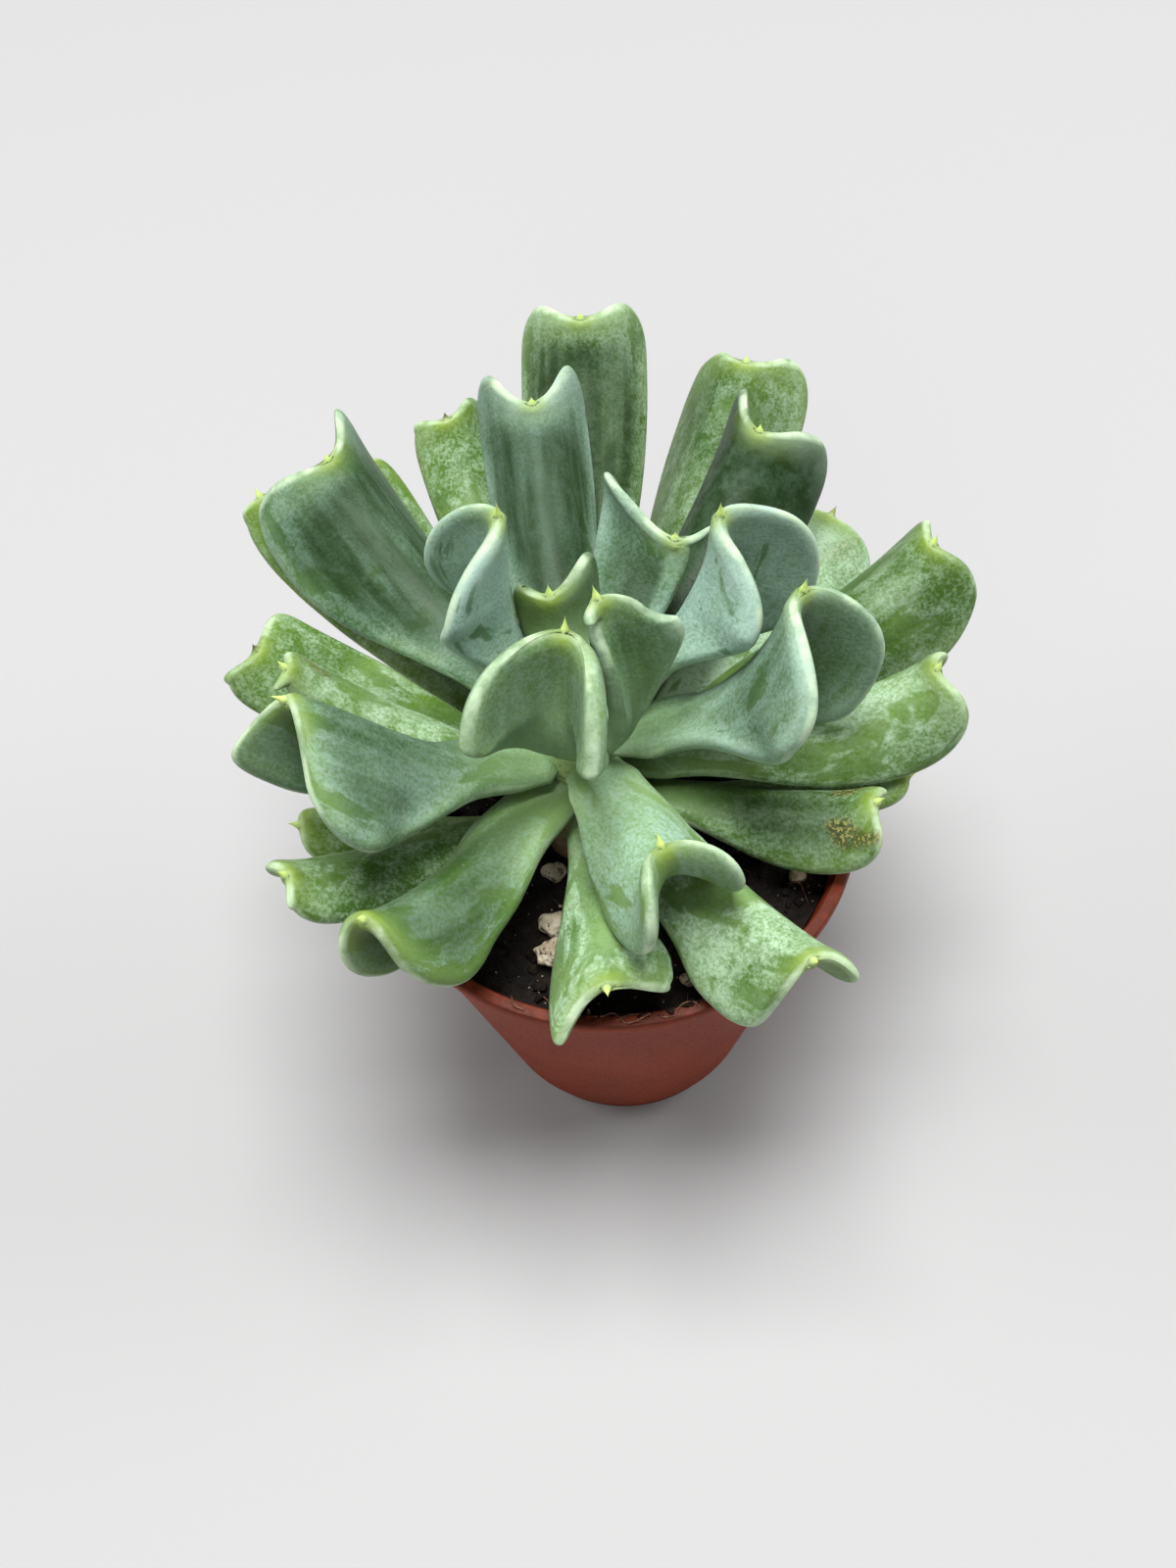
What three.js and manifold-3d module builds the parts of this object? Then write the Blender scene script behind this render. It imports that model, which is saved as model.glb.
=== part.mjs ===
// Potted topsy turvy echeveria: a small nursery pot of dark soil with one rosette of folded leaves.
// Units are millimetres, +Z is up, and the origin is the middle of the pot's underside.
import * as THREE from 'three';
import { mergeVertices } from 'three/addons/utils/BufferGeometryUtils.js';
import Module from 'manifold-3d';

const wasm = await Module();
wasm.setup();
const { Manifold } = wasm;

// Pot
const potHeight = 44;
const rimRadius = 27.5;
const baseRadius = 15.5;
const wall = 1;
const floorHeight = 1.2;
const footHeight = 3;
const footStep = 0.5;
const lipHeight = 2;
const lipStep = 0.5;
const lipRound = 0.4;
const drainRadius = 2;
const drainCircle = 9.5;
const drainCount = 6;

// Soil and stem
const gap = 0.3;
const soilTop = 40.3;
const soilMound = 1;
const soilLump = 0.35;
const soilRings = [1, 0.88, 0.74, 0.58, 0.4, 0.2, 0];
const stemFoot = 30;
const stemTop = 61;
const stemFootRadius = 4.8;
const stemTopRadius = 2.7;
const stemCap = 2;
const heartX = -3;

// Perlite crumbs on the soil, by place, size and turn.
const perlite = [
  { x: -7.2, y: -13, size: 1.8, turnBy: 0.4 },
  { x: -7.6, y: -16.8, size: 2.1, turnBy: 1.7 },
  { x: -7, y: -6, size: 1.4, turnBy: 2.9 },
  { x: 6.5, y: -21, size: 1, turnBy: 0.9 },
  { x: 20, y: -9, size: 1, turnBy: 2.2 },
];

// Leaf rows and sections, all shares of the leaf's length: the neck widens to the waist by waistAt, a
// twisted leaf is turned fully by rollBy, the folds close from foldFrom on and the lobes from lobeFrom on.
const rows = 17;
const rowCrowding = 1.5;
const across = [-0.9, -0.5, 0, 0.5, 0.9];
const arcSteps = 24;
const waistAt = 0.15;
const rollBy = 0.7;
const foldFrom = 0.12;
const foldOver = 0.45;
const lobeFrom = 0.45;
const lobeOver = 0.5;
const lobePower = 1.3;
const rootHandle = 0.45;

// Leaf body in millimetres: how round the ridge and the edge are, and how thick the root is.
const ridgeRound = 2.5;
const edgeRound = 1.3;
const rootThick = 1.6;
const tipThinning = 0.3;
const bloomCount = 13;

const finish = (colour, roughness) => new THREE.MeshStandardMaterial({ color: colour, roughness });
const materials = {
  pot: finish(0x8a4a35, 0.55),
  soil: finish(0x2a201b, 0.95),
  stem: finish(0x7f9a72, 0.7),
  bloom: finish(0x8fae9b, 0.6),
  green: finish(0x86a56c, 0.6),
  perlite: finish(0xe6e0d2, 0.85),
};

// Leaf styles: bend is the length of the upturned end, shoulder the place of the widest row, square the
// squareness of the end, taper how late the blade widens and lobe how far its corners reach past the tip.
const strap = { bend: 5, shoulder: 0.88, square: 4, taper: 1.4, lobe: 0 };
const hood = { bend: 10, shoulder: 0.62, square: 2.2, taper: 2.2, lobe: -2 };
const spoon = { bend: 6, shoulder: 0.8, square: 2.6, taper: 1.6, lobe: 0 };
const common = {
  curl: 20, roll: 0, swing: 0, sag: 0, neck: 1.6, waist: 2, thick: 2.6, spike: 1.4,
  left: 1, right: 1, foldLeft: 0, foldRight: 0, lobeLeft: 0, lobeRight: 0,
};

// Leaves from the heart down, each by its direction, the height it leaves the stem at, how far out and
// how high its tip is, its slope at the root and at the tip, half its width, and the fold of each half.
// Left and right change one half: its share of the width, its fold and its lobe. Sag drops both edges.
const leaves = [
  { ...spoon, az: 99, from: 61, reach: 11, top: 68.7, rise: 50, turn: 80, half: 7, fold: 45, lobe: 2,
    left: 0.58, lobeRight: 1, right: 1.1 },
  { ...hood, az: 250, from: 60, reach: 1, top: 75.8, rise: 65, turn: 105, half: 11.5, fold: 50,
    curl: 35, taper: 1.6, shoulder: 0.68, foldLeft: 8, neck: 1.8, waist: 2.6, sag: -5, left: 0.95,
    right: 1.05, square: 3.2, thick: 3.2, lobeRight: 1 },
  { ...hood, az: 316, from: 59, reach: 1.8, top: 78.4, rise: 60, turn: 105, half: 9.5, fold: 45,
    curl: 25, swing: 2.5, taper: 3, lobe: -1, left: 0.78, sag: 5, shoulder: 0.5, right: 0.3,
    lobeLeft: -3.5 },
  { ...hood, az: 35, from: 58.9, reach: 20, top: 77.5, rise: 20, turn: 90, half: 12, fold: 55,
    roll: -60, left: 1.15, shoulder: 0.68, right: 0.85 },
  { ...hood, az: 130, from: 57.7, reach: 12, top: 81, rise: 30, turn: 95, half: 9.5, fold: 55, roll: 60,
    swing: -2.2, taper: 1.7 },
  { ...hood, az: 291, from: 56.4, reach: 20, top: 63.2, rise: 10, turn: 120, half: 9.5, fold: 50,
    lobe: 0, bend: 8, shoulder: 0.7, neck: 3.2, waist: 4, roll: 10 },
  { ...hood, az: 8, from: 56.3, reach: 24, top: 74, rise: 5, turn: 80, half: 12, fold: 55, roll: -60,
    neck: 2, waist: 3.4, lobeRight: 2, lobeLeft: 1.5, shoulder: 0.68, square: 2.6, right: 1.2 },
  { ...strap, az: 56, from: 55.8, reach: 22, top: 68, rise: 35, turn: 85, half: 9, fold: 50, lobe: 1,
    lobeLeft: 4.5, left: 1.15, right: 0.2, roll: 25, foldLeft: -20, lobeRight: -1.5 },
  { ...hood, az: 185, from: 55.2, reach: 28.7, top: 71, rise: 0, turn: 35, half: 11, fold: 60, roll: 45,
    shoulder: 0.72, lobe: -1, taper: 1.8, neck: 2.6, waist: 3.2, left: 1.3, lobeRight: 6.5,
    lobeLeft: -1, square: 2.6, curl: 25 },
  { ...strap, az: 93, from: 54.6, reach: 37, top: 72.5, rise: 30, turn: 85, half: 9.4, fold: 55,
    lobe: 3.2, taper: 1 },
  { ...spoon, az: 226, from: 53.2, reach: 32, top: 61.5, rise: -5, turn: 60, half: 8.2, fold: 60,
    roll: 10, neck: 3, waist: 3.2, foldRight: 30, left: 1.2, lobeLeft: -5, shoulder: 0.75, square: 2,
    right: 1.15 },
  { ...strap, az: 126, from: 53, reach: 44, top: 68, rise: 10, turn: 80, half: 11, fold: 50, lobe: 3,
    left: 1.1, lobeLeft: -5, lobeRight: 1.5, foldLeft: -10 },
  { ...strap, az: 55, from: 52.8, reach: 41, top: 68.5, rise: 12, turn: 75, half: 10, fold: 55,
    lobeLeft: 4, right: 1.1 },
  { ...spoon, az: 5, from: 52.5, reach: 39, top: 60, rise: 0, turn: 70, half: 9, fold: 55, neck: 1.8,
    waist: 3, left: 0.9 },
  { ...strap, az: 307.2, from: 52, reach: 35, top: 54.5, rise: -5, turn: 45, half: 8, fold: 45, neck: 2,
    waist: 3.2, lobeLeft: 0.5, lobeRight: -6, foldLeft: 20, right: 1.2 },
  { ...spoon, az: 167, from: 50.5, reach: 31, top: 65.2, rise: 12, turn: 60, half: 6.5, fold: 45,
    left: 0.34 },
  { ...spoon, az: 271.5, from: 49.9, reach: 27.3, top: 51.8, rise: -5, turn: 20, half: 9, fold: 50,
    foldLeft: -20, waist: 2.6, right: 0.92, lobeRight: 2.8, lobeLeft: -3, taper: 2.6, left: 0.88,
    square: 6, shoulder: 0.86 },
  { ...strap, az: 85, from: 49.8, reach: 51.5, top: 72.5, rise: 12, turn: 80, half: 10.2, fold: 45,
    lobe: 1, taper: 1 },
  { ...spoon, az: 345, from: 49.8, reach: 32, top: 52.9, rise: -5, turn: 50, half: 7, fold: 50,
    left: 0.78, waist: 2.6 },
  { ...spoon, az: 27, from: 49, reach: 47, top: 60.5, rise: 5, turn: 75, half: 10, fold: 45,
    foldRight: 15, right: 1.15, lobeRight: -1, lobeLeft: 2 },
  { ...spoon, az: 205, from: 48.4, reach: 34, top: 57.7, rise: 0, turn: 60, half: 7, fold: 45,
    right: 0.9, left: 0.7 },
  { ...spoon, az: 117, from: 48.2, reach: 50, top: 59.5, rise: 10, turn: 60, half: 3.7, fold: 45 },
  { ...strap, az: 64, from: 47.8, reach: 55, top: 65.5, rise: 6, turn: 75, half: 10.5, fold: 50,
    lobe: 0.5, lobeLeft: -2, left: 1.2 },
  { ...spoon, az: 357.5, from: 46, reach: 36, top: 48.2, rise: -5, turn: 30, half: 3.2, fold: 45 },
  { ...strap, az: 156.5, from: 45.7, reach: 38, top: 59.5, rise: 28, turn: 70, half: 7.5, fold: 50,
    right: 1.15, foldRight: -35, taper: 0.8, left: 0.78 },
  { ...spoon, az: 46, from: 45.6, reach: 47, top: 54, rise: 5, turn: 40, half: 10, fold: 45 },
  { ...strap, az: 105, from: 45.5, reach: 49, top: 62.5, rise: 12, turn: 70, half: 7, fold: 50,
    left: 0.78, lobeRight: 2.5, right: 1.1 },
  { ...spoon, az: 188, from: 44, reach: 31, top: 52.5, rise: -5, turn: 30, half: 4, fold: 45 },
  { ...spoon, az: 77, from: 43.3, reach: 41, top: 50.6, rise: 5, turn: 50, half: 3.2, fold: 45 },
  { ...spoon, az: 129, from: 42.9, reach: 51.5, top: 61.3, rise: 12, turn: 60, half: 6, fold: 45,
    swing: 3.5, taper: 2.2, right: 1.3, left: 0.75 },
];

const radians = THREE.MathUtils.degToRad;
const ease = (x) => THREE.MathUtils.smoothstep(x, 0, 1);
const outside = (z) => baseRadius + ((rimRadius - lipStep - baseRadius) * z) / potHeight;
const inside = (z) => outside(z) - wall;
const stemRadiusAt = (z) => THREE.MathUtils.mapLinear(z, soilTop, stemTop, stemFootRadius, stemTopRadius);

// Solids join and cut as manifolds and go back to three.js as plain meshes.
function solid(positions, faces) {
  const mesh = new wasm.Mesh({
    numProp: 3,
    vertProperties: new Float32Array(positions),
    triVerts: new Uint32Array(faces.flat()),
  });
  mesh.merge();
  return new Manifold(mesh);
}

function part(name, body, material) {
  const mesh = body.getMesh();
  const geometry = new THREE.BufferGeometry();
  geometry.setAttribute('position', new THREE.BufferAttribute(mesh.vertProperties, 3));
  geometry.setIndex(new THREE.BufferAttribute(mesh.triVerts, 1));
  geometry.computeVertexNormals();
  const result = new THREE.Mesh(geometry, material);
  result.name = name;
  return result;
}

// A turned solid: the profile runs anticlockwise and both its ends lie on the axis.
// Points at the soil line follow the height that is handed in.
function turned(profile, segments, heightAt) {
  const positions = [];
  const faces = [];
  const rings = profile.map(([radius, height]) => {
    const first = positions.length / 3;
    const count = radius === 0 ? 1 : segments;
    for (let k = 0; k < count; k += 1) {
      const angle = (2 * Math.PI * k) / segments;
      const [x, y] = [radius * Math.cos(angle), radius * Math.sin(angle)];
      positions.push(x, y, heightAt && height === soilTop ? heightAt(x, y) : height);
    }
    return { first, count };
  });
  const at = (ring, index) => ring.first + (ring.count === 1 ? 0 : index);
  for (let i = 0; i + 1 < rings.length; i += 1) {
    const [low, high] = [rings[i], rings[i + 1]];
    for (let k = 0; k < segments; k += 1) {
      const next = (k + 1) % segments;
      if (low.count > 1) faces.push([at(low, k), at(low, next), at(high, next)]);
      if (high.count > 1) faces.push([at(low, k), at(high, next), at(high, k)]);
    }
  }
  return solid(positions, faces);
}

// Midrib: leaves the stem at the root's slope and ends upturned at the tip's slope.
function midribOf(leaf) {
  const rise = radians(leaf.rise);
  const turn = radians(leaf.turn);
  const root = stemRadiusAt(leaf.from) + gap + 0.5 * rootThick * Math.abs(Math.sin(rise));
  const start = new THREE.Vector3(root, 0, leaf.from);
  const end = new THREE.Vector3(leaf.reach, leaf.swing, leaf.top);
  const out = new THREE.Vector3(Math.cos(rise), 0, Math.sin(rise));
  const up = new THREE.Vector3(Math.cos(turn), 0, Math.sin(turn));
  return new THREE.CubicBezierCurve3(
    start,
    start.clone().addScaledVector(out, rootHandle * start.distanceTo(end)),
    end.clone().addScaledVector(up, -leaf.bend),
    end,
  );
}

// Half the blade's width at a share s of its length.
function halfWidth(leaf, s) {
  const base = THREE.MathUtils.lerp(leaf.neck, leaf.waist, ease(s / waistAt));
  const widening = Math.sin((Math.PI / 2) * Math.min(s / leaf.shoulder, 1)) ** (2 * leaf.taper);
  const ending = Math.max(0, (s - leaf.shoulder) / (1 - leaf.shoulder));
  const closing = Math.max(1 - ending ** leaf.square, 0) ** (1 / leaf.square);
  return Math.max((base + (leaf.half - base) * widening) * closing, 0.05);
}

// One point of a section, t from -1 at the right edge to 1 at the left edge: how far out and down it lies,
// how far it is pulled along the leaf, how steep the blade is there and half its thickness.
function sectionPoint(leaf, s, t) {
  const away = Math.abs(t);
  const [share, foldMore, lobeMore] = t < 0
    ? [leaf.right, leaf.foldRight, leaf.lobeRight]
    : [leaf.left, leaf.foldLeft, leaf.lobeLeft];
  const folding = ease((s - foldFrom) / foldOver);
  const fold = radians(leaf.fold + foldMore) * folding;
  const curl = radians(leaf.curl) * folding;
  const arc = halfWidth(leaf, s) * share;
  const step = (away * arc) / arcSteps;
  const point = { out: 0, down: 0, angle: 0 };
  for (let k = 0; k < arcSteps; k += 1) {
    const u = (away * (k + 0.5)) / arcSteps;
    point.angle = fold * Math.tanh((arc * u) / ridgeRound) + curl * u ** 3;
    point.out += Math.cos(point.angle) * step;
    point.down += Math.sin(point.angle) * step;
  }
  const shift = (leaf.lobe + lobeMore) * ease((s - lobeFrom) / lobeOver) + leaf.sag * 4 * s * (1 - s);
  const edge = Math.min(edgeRound, arc * 0.6);
  const intoEdge = Math.max(0, 1 - ((1 - away) * arc) / edge);
  const thick = THREE.MathUtils.lerp(rootThick, leaf.thick, ease(4 * s)) * (1 - tipThinning * s);
  point.along = shift * ((away * halfWidth(leaf, s)) / leaf.half) ** lobePower;
  point.depth = 0.5 * thick * Math.sqrt(Math.max(0, 1 - intoEdge ** 2));
  return point;
}

// Leaf: the midrib carries folded sections, and the same rows make both faces of the blade.
function leafSolid(leaf) {
  const midrib = midribOf(leaf);
  const place = new THREE.Matrix4().makeTranslation(heartX, 0, 0)
    .multiply(new THREE.Matrix4().makeRotationZ(radians(leaf.az)));
  const edges = [-1, ...across, 1];
  const positions = [];
  const put = (point) => positions.push(...point.clone().applyMatrix4(place).toArray());
  for (let i = 0; i < rows; i += 1) {
    const s = Math.min(1 - (1 - i / (rows - 1)) ** rowCrowding, 0.999);
    const centre = midrib.getPointAt(s);
    const along = midrib.getTangentAt(s);
    const flat = new THREE.Vector3(0, 1, 0).addScaledVector(along, -along.y).normalize();
    const roll = radians(leaf.roll) * ease(s / rollBy);
    const side = flat.clone().multiplyScalar(Math.cos(roll))
      .addScaledVector(along.clone().cross(flat), Math.sin(roll));
    const above = along.clone().cross(side);
    const section = edges.map((t) => {
      const point = sectionPoint(leaf, s, t);
      const hand = Math.sign(t);
      const middle = centre.clone().addScaledVector(side, hand * point.out)
        .addScaledVector(above, -point.down).addScaledVector(along, point.along);
      const normal = above.clone().multiplyScalar(Math.cos(point.angle))
        .addScaledVector(side, hand * Math.sin(point.angle));
      return { middle, lift: normal.multiplyScalar(point.depth) };
    });
    section.forEach(({ middle, lift }) => put(middle.clone().add(lift)));
    section.slice(1, -1).forEach(({ middle, lift }) => put(middle.clone().sub(lift)));
  }
  put(midrib.getPointAt(0));
  put(midrib.getPointAt(1).addScaledVector(midrib.getTangentAt(1), leaf.spike));

  const last = edges.length - 1;
  const count = 2 * last;
  const upper = (i, j) => i * count + j;
  const under = (i, j) => (j === 0 || j === last ? upper(i, j) : upper(i, last + j));
  const faces = [];
  const quad = (a, b, c, d) => faces.push([a, b, c], [a, c, d]);
  for (let i = 0; i + 1 < rows; i += 1) {
    for (let j = 0; j < last; j += 1) {
      quad(upper(i, j), upper(i + 1, j), upper(i + 1, j + 1), upper(i, j + 1));
      quad(under(i + 1, j + 1), under(i + 1, j), under(i, j), under(i, j + 1));
    }
  }
  const [rootEnd, tipEnd] = [rows * count, rows * count + 1];
  for (let j = 0; j < last; j += 1) {
    faces.push([rootEnd, upper(0, j), upper(0, j + 1)]);
    faces.push([rootEnd, under(0, j + 1), under(0, j)]);
    faces.push([tipEnd, upper(rows - 1, j + 1), upper(rows - 1, j)]);
    faces.push([tipEnd, under(rows - 1, j), under(rows - 1, j + 1)]);
  }
  return solid(positions, faces);
}

// Pot: tapered wall, a small foot step, a bead round the rim and drain holes round a solid middle.
function potSolid() {
  const shell = turned([
    [0, 0],
    [outside(0) - footStep, 0],
    [outside(footHeight) - footStep, footHeight],
    [outside(footHeight + footStep), footHeight + footStep],
    [outside(potHeight - lipHeight), potHeight - lipHeight],
    [rimRadius, potHeight - lipHeight + lipStep],
    [rimRadius, potHeight - lipRound],
    [rimRadius - lipRound, potHeight],
    [inside(potHeight), potHeight],
    [inside(floorHeight), floorHeight],
    [0, floorHeight],
  ], 64);
  const holes = [];
  for (let k = 0; k < drainCount; k += 1) {
    const angle = (2 * Math.PI * k) / drainCount;
    const top = floorHeight + 1;
    const pin = turned([[0, -1], [drainRadius, -1], [drainRadius, top], [0, top]], 20);
    holes.push(pin.translate([drainCircle * Math.cos(angle), drainCircle * Math.sin(angle), 0]));
  }
  return shell.subtract(Manifold.union(holes));
}

// Soil: fills the pot to a little below the rim, mounded and lumpy on top, with a plain hole for the stem.
function soilHeight(x, y) {
  const away = Math.min(Math.hypot(x, y) / rimRadius, 1);
  const lumps = Math.sin(0.55 * x + 1) * Math.cos(0.48 * y - 0.6) + 0.5 * Math.sin(0.9 * (x - y));
  return soilTop + soilMound * (1 - away ** 2) + soilLump * lumps;
}

function soilSolid() {
  const bottom = floorHeight + gap;
  const edge = inside(soilTop) - gap;
  const top = soilRings.map((share) => [share * edge, soilTop]);
  const body = turned([[0, bottom], [inside(bottom) - gap, bottom], ...top], 40, soilHeight);
  const hole = turned([
    [0, stemFoot - gap],
    [stemFootRadius + gap, stemFoot - gap],
    [stemFootRadius + gap, potHeight],
    [0, potHeight],
  ], 24).translate([heartX, 0, 0]);
  return body.subtract(hole);
}

function stemSolid() {
  return turned([
    [0, stemFoot],
    [stemFootRadius, stemFoot],
    [stemFootRadius, soilTop],
    [stemTopRadius, stemTop],
    [0.5 * stemTopRadius, stemTop + 0.8 * stemCap],
    [0, stemTop + stemCap],
  ], 24).translate([heartX, 0, 0]);
}

// Perlite: pale crumbs lying on the soil, each a ball made uneven and a little flat.
function perliteSolid({ x, y, size, turnBy }) {
  const shape = new THREE.IcosahedronGeometry(size, 1);
  shape.deleteAttribute('normal');
  shape.deleteAttribute('uv');
  const lump = mergeVertices(shape, 0.001);
  const at = lump.getAttribute('position');
  const point = new THREE.Vector3();
  const upward = new THREE.Vector3(0, 0, 1);
  for (let k = 0; k < at.count; k += 1) {
    point.fromBufferAttribute(at, k);
    const uneven = 1 + 0.16 * Math.sin(2.3 * point.x + turnBy) * Math.cos(2.1 * point.y - turnBy);
    point.multiplyScalar(uneven).applyAxisAngle(upward, turnBy);
    at.setXYZ(k, point.x, point.y, point.z);
  }
  lump.scale(1, 0.8, 0.62);
  lump.computeBoundingBox();
  lump.translate(x, y, soilHeight(x, y) + gap - lump.boundingBox.min.z);
  const faces = [];
  for (let k = 0; k < lump.index.count; k += 3) faces.push([...lump.index.array.slice(k, k + 3)]);
  return solid(at.array, faces);
}

const model = new THREE.Group();
model.name = 'potted_echeveria';
model.add(part('pot', potSolid(), materials.pot));
model.add(part('soil', soilSolid(), materials.soil));
model.add(part('stem', stemSolid(), materials.stem));
leaves.forEach((leaf, k) => {
  const name = `leaf_${String(k + 1).padStart(2, '0')}`;
  const material = k < bloomCount ? materials.bloom : materials.green;
  model.add(part(name, leafSolid({ ...common, ...leaf }), material));
});
perlite.forEach((crumb, k) => {
  model.add(part(`perlite_${k + 1}`, perliteSolid(crumb), materials.perlite));
});
export default model;
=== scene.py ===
import math
import random

import bpy
import numpy as np
from mathutils import Matrix, Vector, noise


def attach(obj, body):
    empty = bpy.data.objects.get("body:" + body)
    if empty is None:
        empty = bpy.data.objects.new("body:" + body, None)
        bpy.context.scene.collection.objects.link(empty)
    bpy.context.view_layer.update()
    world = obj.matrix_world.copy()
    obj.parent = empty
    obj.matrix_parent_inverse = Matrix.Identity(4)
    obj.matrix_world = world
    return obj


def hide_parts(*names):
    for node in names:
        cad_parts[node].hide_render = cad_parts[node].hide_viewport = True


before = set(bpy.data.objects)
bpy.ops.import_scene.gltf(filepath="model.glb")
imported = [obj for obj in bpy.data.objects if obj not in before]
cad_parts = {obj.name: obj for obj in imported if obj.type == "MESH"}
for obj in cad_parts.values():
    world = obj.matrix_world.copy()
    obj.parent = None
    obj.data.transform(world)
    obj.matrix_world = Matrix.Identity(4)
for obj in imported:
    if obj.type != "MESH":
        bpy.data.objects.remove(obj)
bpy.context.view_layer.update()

# Pot
POT_HEIGHT = 44
RIM_RADIUS = 27.5
BASE_RADIUS = 15.5
WALL = 1
FLOOR_HEIGHT = 1.2
FOOT_HEIGHT = 3
FOOT_STEP = 0.5
LIP_HEIGHT = 2
LIP_STEP = 0.5
LIP_ROUND = 0.4
DRAIN_RADIUS = 2
DRAIN_CIRCLE = 9.5
DRAIN_COUNT = 6

# Soil and stem
GAP = 0.3
SOIL_TOP = 40.3
SOIL_MOUND = 1
SOIL_LUMP = 0.35
STEM_FOOT = 30
STEM_TOP = 61
STEM_FOOT_RADIUS = 4.8
STEM_TOP_RADIUS = 2.7
STEM_CAP = 2
HEART_X = -3

# Perlite crumbs on the soil, by place, size and turn.
PERLITE = [
    dict(x=-7.2, y=-13, size=1.8, turn_by=0.4),
    dict(x=-7.6, y=-16.8, size=2.1, turn_by=1.7),
    dict(x=-7, y=-6, size=1.4, turn_by=2.9),
    dict(x=6.5, y=-21, size=1, turn_by=0.9),
    dict(x=20, y=-9, size=1, turn_by=2.2),
]

# Leaf blade: points round a section, rows up to the shoulder, rows round the end and rows of the spike.
ROUND = 64
BLADE_ROWS = 52
END_ROWS = 34
SPIKE_ROWS = 9
ARC_STEPS = 60
WAIST_AT = 0.15
ROLL_BY = 0.7
FOLD_FROM = 0.12
FOLD_OVER = 0.45
LOBE_FROM = 0.45
LOBE_OVER = 0.5
LOBE_POWER = 1.3
ROOT_HANDLE = 0.45
RIDGE_ROUND = 2.5
EDGE_ROUND = 1.3
ROOT_THICK = 1.6
TIP_THINNING = 0.3
ROOT_SUNK = 2.6
SPIKE_RADIUS = 0.55
SPIKE_KEEL = 2
BLOOM_COUNT = 13

# Leaf styles: bend is the length of the upturned end, shoulder the place of the widest row, square the
# squareness of the end, taper how late the blade widens and lobe how far its corners reach past the tip.
COMMON = dict(curl=20, roll=0, swing=0, sag=0, neck=1.6, waist=2, thick=2.6, spike=1.4, left=1, right=1,
              fold_left=0, fold_right=0, lobe_left=0, lobe_right=0, scar=0, dry=0)
STRAP = dict(COMMON, spike=0.9, bend=5, shoulder=0.88, square=4, taper=1.4, lobe=0)
HOOD = dict(COMMON, spike=1.8, bend=10, shoulder=0.62, square=2.2, taper=2.2, lobe=-2)
SPOON = dict(COMMON, bend=6, shoulder=0.8, square=2.6, taper=1.6, lobe=0)

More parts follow.
